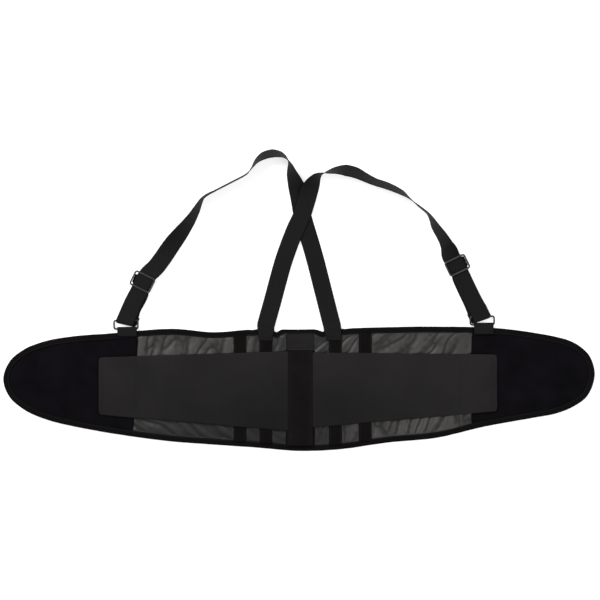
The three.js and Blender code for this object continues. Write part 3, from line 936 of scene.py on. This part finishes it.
BINDING_SECTION = [
    (11.0, 3.7), (10.7, 4.75), (9.2, 5.15), (7.4, 4.9), (5.4, 5.1), (3.0, 5.0), (1.1, 4.4), (0.2, 3.3),
    (0.0, 2.5), (0.2, 1.6), (1.1, 0.6), (3.0, 0.1), (6.0, 0.0), (9.2, 0.05), (10.7, 0.2), (11.0, 0.9),
    (9.6, 1.0), (4.6, 1.1), (3.4, 1.9), (3.4, 3.2), (4.6, 3.95), (9.6, 3.85),
]


def binding_path(first, last):
    """The outline's samples from index first on to index last, going anticlockwise."""
    count = len(EDGE)
    return [i % count for i in range(first, last + 1 if last >= first else last + count + 1)]


def nearest_sample(x, top):
    """The outline sample nearest to an x on the top or the bottom edge."""
    split = RIGHT_TIP * OUTLINE_STEPS
    indices = range(split, len(EDGE)) if top else range(split)
    return min(indices, key=lambda i: abs(EDGE[i][0] - x))


def binding_share(x, y):
    """The binding is folded narrower along the top of the centre panel."""
    return 1 - 0.36 * (1 - smooth_step(abs(x), 24, 34)) if y > -100 else 1.0


def build_binding():
    cuts = {}
    for side in SIDES:
        (top_x, _), (bottom_x, _) = SEAM[side]
        cuts[side] = nearest_sample(top_x, True), nearest_sample(bottom_x, False)
    (left_top, left_bottom), (right_top, right_bottom) = cuts["left"], cuts["right"]
    stitch_in, stitch_z = 9.2, 5.1
    runs = (("left_end", left_top, left_bottom, "left", "left_flap"),
            ("lower", left_bottom, right_bottom, None, "bottom"),
            ("right_end", right_bottom, right_top, "right", "right_flap"),
            ("upper", right_top, left_top, None, "top"))
    for run, first, last, side, node in runs:
        centres, across, line = [], [], []
        for i in binding_path(first, last):
            x, y = EDGE[i]
            inward = np.append(EDGE_INWARD[i], 0.0)
            share = binding_share(x, y)
            centres.append(np.array([x, y, 0.0]) + inward * 0.225 * ripple(x, y, 15, 11))
            across.append(inward * share)
            line.append(np.array([x, y, stitch_z]) + inward * stitch_in * share)
        over = [UP * (1 + 0.03 * ripple(c[0], c[1], 9, 13)) for c in centres]
        piece = sweep(f"binding_{run}", centres, across, over, np.array(BINDING_SECTION), "binding")
        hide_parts(f"binding_{node}")
        for part in (piece, stitches(f"binding_{run}_stitches", line, lift=0.02)):
            if side is None:
                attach(part, "belt")
            else:
                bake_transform(part)


# ---- shoulder harness ----

WEBBING = 32                     # width of the straps
WEB = 1.4                        # their thickness
WALL = 0.3                       # their gap to the surface the belt lies on
BAR_Z = HINGE["left"][2]
RING_HALF, RING_RISE, RING_WIRE = 23, 18.2, 1.6  # outer half length and width of a ring, its wire's radius
LOOP_RADIUS = 2.9                # middle of the webbing that folds round a ring bar
RUN_MAIN_Z = 7.1                 # middle of the outer layer in the straight run
RUN_RETURN_Z = 1.3               # middle of the layer that comes back up from the ring
LOOP_DROP = 4.4                  # how far below the ring bar the loop's centre hangs
TAB_LOW, TAB_HIGH = 5.5, 7.6     # the tab's two faces where it is sewn down

# x, y, roll in degrees and lift off the floor: close to the design's routes.
ROUTES = {
    "left": [
        (62.5, -58, 0, 3.2), (60, -48, 0, 3.2), (56, -33, 0, 2), (47.7, 0, 0, 0.2), (39.6, 32, 0, 0),
        (30.4, 68, 0, 0), (22, 98, 0, 0), (13.5, 126, 0, 0), (6, 153, 0, 0), (2, 176, 0, 0),
        (-2, 196, 6, 0), (-7.5, 212, 35, 0), (-13, 227, 55, 0), (-16, 240, 73, 0), (-19, 248.8, 89, 0),
        (-26, 257, 104, 0), (-35, 261.3, 115, 0), (-48, 262.8, 122, 0), (-64, 258.3, 120, 0),
        (-76, 249, 108, 0), (-84, 237.5, 97, 0), (-93, 226.5, 91, 0), (-118, 212.4, 90, 0),
        (-150, 196, 90, 0), (-171, 183.5, 86, 0), (-183.5, 162, 69, 0), (-192, 147.5, 60, 0),
        (-202, 133, 49, 0),
        (-213, 118.8, 36, 0), (-224.5, 104.5, 22, 0), (-235, 90, 12, 0.6), (-246, 73.8, 4, 3.2),
        (-257.8, 58.5, 0, 5.4),
    ],
    "right": [
        (-63.3, -58, 0, 3.2), (-60.5, -48.5, 0, 3.2), (-56.2, -33, 0, 2), (-47, 0, 0, 0.2),
        (-38.5, 32, 0, 0), (-28.4, 68, 0, 1), (-18, 98, 0, 2.4), (-7, 126, 0, 2.4), (5.5, 153, 0, 2.6),
        (14, 180, 0, 3.8), (19.5, 198, -12, 4), (27, 212, -42, 1.5), (32.5, 219.5, -60, 0),
        (40, 225.5, -84, 0), (52, 229.2, -104, 0), (67, 232.3, -118, 0), (84.5, 232.5, -134, 0),
        (101, 228.5, -133, 0), (117, 220.8, -125, 0), (137, 211.5, -119, 0), (157, 205, -118, 0),
        (172, 198.8, -115, 0), (186, 191.5, -110, 0), (198, 182.5, -98, 0), (214, 169, -90, 0),
        (231, 155, -87, 0), (238.2, 144, -78, 0), (243.6, 133.3, -68, 0), (249.5, 124, -63, 0),
        (255, 116, -59, 0), (260.5, 107, -55, 0), (265.0, 98.5, -48, 0), (268.8, 90.5, -30, 1.5),
    ],
}
ANCHOR_LEAN = {"left": 9.0, "right": -2.0}       # how the sewn back end leans, by strap
ANCHOR_NARROW = {"left": 0.88, "right": 0.78}    # and its share of the webbing's width
RUN_LENGTH = {"left": 76.2, "right": 101.7}      # ring bar to slider
# Distance up the straight run and how far aside the outer layer lies there, from the top down.
RUN_ASIDE = {
    "left": [(94.2, 4.6), (87, 2.8), (80.5, 1.7), (62, 1.7), (34, 0), (12, 0)],
    "right": [(119.7, -3.4), (112, -2.3), (106, -1.7), (88, -1.7), (58, -1.8), (30, -1.4), (12, 0)],
}
# The same for the layer under it, from the ring up to the slider's core bar.
RETURN_ASIDE = {
    "left": [(8, 5.0), (25, 2.0), (40, 3.2), (56, 3.4), (66, 0.6), (71.2, -1.5)],
    "right": [(8, -5.0), (30, -3.6), (58, -3.4), (82, -2.4), (91, 0.2), (96.7, 1.6)],
}
LOOP_REACH = {"left": 6.0, "right": 8.5}         # how far past the core bar the layer turns back
RING_TILT = {"left": -11.0, "right": 6.0}        # how the loop turns to line up with its ring
TAB_SHIFT = {"left": 2.0, "right": 2.5}          # the tab sits this far along the ring's lower bar
RUN_X = {"left": -312, "right": 328}


def run_start(side):
    """The middle of the ring's upper bar, where the straight run begins."""
    return np.array([RUN_X[side], hinge_y(RUN_X[side]) + RING_RISE - 2 * RING_WIRE, 0.0])


def run_point(side, distance, z):
    return run_start(side) + RUN[side] * distance + UP * z


def run_across(side):
    return np.cross(RUN[side], UP)


def webbing_section():
    """The strap's flat section, thinner at its two selvedges."""
    us = np.linspace(-1, 1, 15)
    upper = [(WEBBING / 2 * u, WEB / 2 * (1 - 6 * max(0, abs(u) - 0.9))) for u in us]
    lower = [(x, -z) for x, z in reversed(upper)]
    return np.array(upper + lower)


def free_stations(side):
    """Centre, width and face direction all along the part of a strap that lies free."""
    route = list(ROUTES[side])
    lift = RUN_MAIN_Z - WALL - WEB / 2
    for distance, aside in RUN_ASIDE[side]:
        x, y, _ = run_point(side, distance, 0) + run_across(side) * aside
        route.append((x, y, 0, lift))
    centres = []
    for x, y, roll, rise in route:
        angle = math.radians(roll)
        z = WALL + rise + abs(math.sin(angle)) * WEBBING / 2 + abs(math.cos(angle)) * WEB / 2
        centres.append((x, y, z))
    steps = 8
    points = spline(centres, False, steps)
    rolls = np.radians(np.interp(np.arange(len(points)) / steps, range(len(route)), [r[2] for r in route]))
    stations = []
    for point, ahead, roll in zip(points, np.gradient(points, axis=0), rolls):
        flat = unit(np.array([ahead[0], ahead[1], 0.0]))
        width = np.cross(flat, UP) * math.cos(roll) + UP * math.sin(roll)
        stations.append((point, width, unit(np.cross(width, ahead))))
    begin = next(i for i, (point, _, _) in enumerate(stations) if point[1] > hinge_y(point[0]) + 2.5)
    return stations[begin:]


def anchor_stations(side, end, end_width):
    """From under the band, over the binding and down to where the free part starts."""
    lean = math.radians(ANCHOR_LEAN[side])
    direction = np.array([-math.sin(lean), math.cos(lean), 0.0])
    low, high = extent(f"{side}_strap_anchor")
    foot = end - direction * (end[1] - low[1] - 1) / direction[1]
    sewn_z = high[2] - WEB / 2 - 0.1
    total = np.linalg.norm((end - foot)[:2])
    rises = (sewn_z - 0.6, sewn_z, sewn_z + 0.1, sewn_z - 0.4, end[2])
    square = np.array([math.copysign(1, end_width[0]), 0, 0])
    narrow = ANCHOR_NARROW[side]
    stations = []
    count = 21
    for k in range(count):
        share, turn = k / count, k / (count - 1)
        z = np.interp(share, (0.0, 0.3, 0.62, 0.86, 1.0), rises)
        width = unit(np.array([end_width[0], end_width[1], 0.0]) * turn + square * (1 - turn))
        width *= narrow + (1 - narrow) * smooth_step(turn, 0.2, 0.9)
        stations.append((foot + direction * total * share + UP * (z - foot[2]), width, UP))
    return stations


def loop_stations(side):
    """Round the ring's upper bar and a little way back, turning to line up with the bar."""
    shift = 6.0 * SIGN[side]
    tilt = math.radians(RING_TILT[side])
    run, across = RUN[side], -run_across(side)
    foot = RUN_ASIDE[side][-1][0]
    turned = across * math.cos(tilt) + run * math.sin(tilt)
    stations = []
    for k in range(1, 7):
        s = k / 6
        width = across * (1 - s) + turned * s
        stations.append((run_point(side, foot - (foot + LOOP_DROP) * s, RUN_MAIN_Z), width, UP))
    normal = np.cross(turned, UP)
    normal *= math.copysign(1, np.dot(normal, run))
    hub = run_point(side, -LOOP_DROP, BAR_Z)
    for k in range(1, 9):
        turn = math.pi * k / 8
        out = UP * math.cos(turn) - normal * math.sin(turn)
        drift = turned * shift * (k / 8)
        stations.append((hub + out * LOOP_RADIUS + drift, turned, out))
    for k in range(1, 5):
        width = turned * (1 - k / 4) + across * (k / 4)
        point = run_point(side, -LOOP_DROP + 4.5 * k, RUN_RETURN_Z - 0.1) + width * shift
        stations.append((point, unit(width), -UP))
    return stations


def ribbon(name, stations, section):
    """Webbing along stations of centre, width and face direction."""
    return sweep(name, *zip(*stations), section, "webbing")


def build_strap(side):
    free = free_stations(side)
    first, width, _ = free[0]
    sewn = anchor_stations(side, first, width)
    stations = [(centre + face * 0.25 * ripple(centre[0], centre[1], 33, 21), across, face)
                for centre, across, face in sewn + free + loop_stations(side)]
    piece = ribbon(f"{side}_shoulder_strap", stations, webbing_section())
    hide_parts(f"{side}_strap", f"{side}_strap_anchor")
    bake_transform(piece)
    for k, index in enumerate((3, 8)):
        centre = sewn[index][0] + UP * (WEB / 2 + 0.1)
        line = [centre + np.array([width[0] * u, 0, 0]) for u in np.linspace(-11, 11, 12)]
        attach(stitches(f"{side}_anchor_stitches_{k}", line), "belt")


def build_return(side):
    """The layer that runs back up from the ring and is sewn round the slider's core bar."""
    run, across = RUN[side], run_across(side)
    length = RUN_LENGTH[side]
    aside = spline(RETURN_ASIDE[side], False, 8)
    stations = []
    for distance, drift in aside:
        above = 0.85 * (1 - smooth_step(distance, 8, 8 + 0.3 * length))
        centre = run_point(side, distance, RUN_RETURN_Z + 0.05 + above) + across * drift
        stations.append((centre, across, -UP))
    hub = run_point(side, length + LOOP_REACH[side], BAR_Z) + across * aside[-1][1]
    radius = 1.55
    for turn in np.linspace(-math.pi / 2, math.pi / 2, 12):
        out = run * math.cos(turn) + UP * math.sin(turn)
        stations.append((hub + out * radius, across, out))
    for back in np.linspace(2, LOOP_REACH[side] + 8, 8):
        stations.append((hub + UP * radius - run * back, across, UP))
    thin = webbing_section() * np.array([1.0, 0.5])
    piece = ribbon(f"{side}_strap_return", stations, thin)
    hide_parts(f"{side}_slider_tongue")
    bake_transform(piece)


def rectangle(centre, across, upward, half, low, high):
    """Four corners round a centre, from the lower left."""
    places = ((-half, low), (half, low), (half, high), (-half, high))
    return [centre + across * a + upward * b for a, b in places]


def circle(radius, angles):
    return [(radius * math.cos(angle), radius * math.sin(angle)) for angle in angles]


def wire_path(corners, radius, steps=8):
    """A closed path round corner points, each rounded to a radius."""
    path = []
    count = len(corners)
    for i, corner in enumerate(corners):
        before, after = corners[i - 1], corners[(i + 1) % count]
        back, on = unit(before - corner), unit(after - corner)
        centre = corner + (back + on) * radius
        for k in range(steps + 1):
            turn = math.pi / 2 * k / steps
            path.append(centre - on * radius * math.cos(turn) - back * radius * math.sin(turn))
    return np.array(path)


def wire(name, path, radius, material, closed=True):
    """A round wire along a path."""
    path = np.array(path, float)
    if closed:
        ahead = np.roll(path, -1, axis=0) - np.roll(path, 1, axis=0)
    else:
        ahead = np.gradient(path, axis=0)
    ahead /= np.linalg.norm(ahead, axis=1)[:, None]
    sides = 16
    profile = np.array(circle(radius, 2 * math.pi * np.arange(sides) / sides))
    across, over = [], []
    side = None
    for direction in ahead:
        if side is None:
            side = np.cross(direction, UP)
            if np.linalg.norm(side) < 0.1:
                side = np.cross(direction, np.array([1.0, 0, 0]))
        side = unit(side - direction * np.dot(side, direction))
        across.append(side)
        over.append(np.cross(side, direction))
    return sweep(name, path, across, over, profile, material, closed=closed)


def build_ring(side):
    low_z, high_z = levels(f"{side}_ring")
    radius = (high_z - low_z) / 2
    half, rise = RING_HALF - radius, RING_RISE - 2 * radius
    corners = rectangle(HINGE[side], HINGE_AXIS, HINGE_NORMAL, half, 0, rise)
    piece = wire(f"{side}_wire_ring", wire_path(corners, 3.2), radius, "ring_metal")
    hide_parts(f"{side}_ring")
    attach(piece, f"{side}_ring")


def build_tab(side):
    """Webbing folded round the ring's lower bar and sewn to the flap's corner."""
    length = 13 if side == "left" else 17
    half = 17.5
    radius, thick = 3.6, 1.2
    bends = np.radians(np.linspace(100, -165, 22))
    outer, inner = circle(radius, bends), circle(radius - thick, bends)
    top, bottom = TAB_HIGH - BAR_Z, TAB_LOW - BAR_Z
    profile = [(-length, bottom + 0.1), (-length - 0.3, bottom + 0.8), (-length, top - 0.2)]
    profile += [(-length + 1, top), (-6, top), (-3, top + 0.15)] + outer + [(-4.1, bottom - 0.15)]
    profile += [(-3.0, 0.3)] + inner[::-1] + [(-2.2, bottom + 0.6), (-4.5, bottom + 0.1)]
    centre = HINGE[side] + HINGE_AXIS * TAB_SHIFT[side]
    centres = [centre + HINGE_AXIS * a for a in np.linspace(-half, half, 15)]
    across, over = [HINGE_NORMAL] * len(centres), [UP] * len(centres)
    piece = sweep(f"{side}_ring_tab", centres, across, over, np.array(profile), "webbing")
    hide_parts(f"{side}_tab")
    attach(piece, "belt")
    for k, inset in enumerate((5.5, length - 2)):
        start = centre - HINGE_NORMAL * inset + UP * (top - 0.05)
        line = [start + HINGE_AXIS * a for a in np.linspace(-half + 2.5, half - 2.5, 14)]
        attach(stitches(f"{side}_tab_stitches_{k}", line), "belt")


def build_slider(side):
    """A bent-wire slider: a rounded loop over the strap and a core bar under it."""
    bar_z, half_width, half_length = 9.6, 19, 13
    turn = math.radians(2.5 if side == "left" else 0)
    run = RUN[side] * math.cos(turn) + run_across(side) * math.sin(turn)
    across = np.cross(run, UP)
    hub = run_point(side, RUN_LENGTH[side], bar_z)
    corners = rectangle(hub, across, run, half_width, -half_length, half_length)
    piece = wire(f"{side}_slider_frame", wire_path(corners, 3.6), 1.55, "slider_metal")
    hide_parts(f"{side}_slider")
    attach(piece, f"{side}_slider")
    drop = bar_z - BAR_Z
    leg = [(half_width, 0.0), (half_width, -drop * 0.55), (half_width - 0.6, -drop * 0.9),
           (half_width - 2.2, -drop)]
    ends = [(-a, z) for a, z in leg] + [(0, -drop)] + leg[::-1]
    path = spline([hub + across * a + UP * z for a, z in ends], False, 4)
    core = wire(f"{side}_slider_core", path, 0.95, "slider_metal", closed=False)
    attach(core, f"{side}_slider")


# ---- build it all ----

for _side in SIDES:
    build_flap(_side)
    build_mesh_panel(_side)
    build_band(_side)
    build_strap(_side)
    build_return(_side)
    build_ring(_side)
    build_tab(_side)
    build_slider(_side)
build_closure_patch()
build_centre_panel()
build_channels()
build_column()
build_binding()

for _name in CHANNELS:
    _stay = frame["nodes"][f"stay_{_name}"]
    _stay.data.materials.clear()
    _stay.data.materials.append(MATERIALS["stay_steel"])


# ---- floor, light and camera ----

def build_stage():
    mesh = bpy.data.meshes.new("floor")
    reach, floor_z = 6.0, -0.0006
    corners = [(x * reach, y * reach, floor_z) for x, y in ((-1, -1), (1, -1), (1, 1), (-1, 1))]
    mesh.from_pydata(corners, [], [(0, 1, 2, 3)])
    finish = Finish("floor_white", 0.9, specular=0.1)
    finish.bsdf.inputs["Base Color"].default_value = (0.6, 0.6, 0.6, 1)
    finish.bsdf.inputs["Emission Color"].default_value = (1, 1, 1, 1)
    finish.bsdf.inputs["Emission Strength"].default_value = 0.62
    mesh.materials.append(finish.material)
    add_object("floor", mesh)


def add_light(name, place, size, power):
    """A round soft light that faces the origin."""
    light = bpy.data.lights.new(name, "AREA")
    light.shape = "DISK"
    light.size = size
    light.energy = power
    lamp = add_object(name, light)
    lamp.location = place
    lamp.rotation_euler = (-Vector(place)).to_track_quat("-Z", "Y").to_euler()


def build_lights():
    world = bpy.data.worlds.new("studio")
    world.use_nodes = True
    background = world.node_tree.nodes["Background"]
    background.inputs["Color"].default_value = (1, 1, 1, 1)
    background.inputs["Strength"].default_value = 0.6
    bpy.context.scene.world = world
    add_light("key", (-1.5, 1.5, 2.1), 1.8, 80)
    add_light("fill", (1.8, -0.8, 1.9), 1.8, 26)


def build_camera():
    data = bpy.data.cameras.new("camera")
    distance, view_width, centre_x = 3.4, 1.08, 0.0018
    data.sensor_width = 36
    data.lens = data.sensor_width * distance / view_width
    data.clip_end = 50
    camera = add_object("camera", data)
    camera.location = (centre_x, 0.0, distance)
    bpy.context.scene.camera = camera


build_stage()
build_lights()
build_camera()
bpy.context.scene.view_settings.view_transform = "Standard"
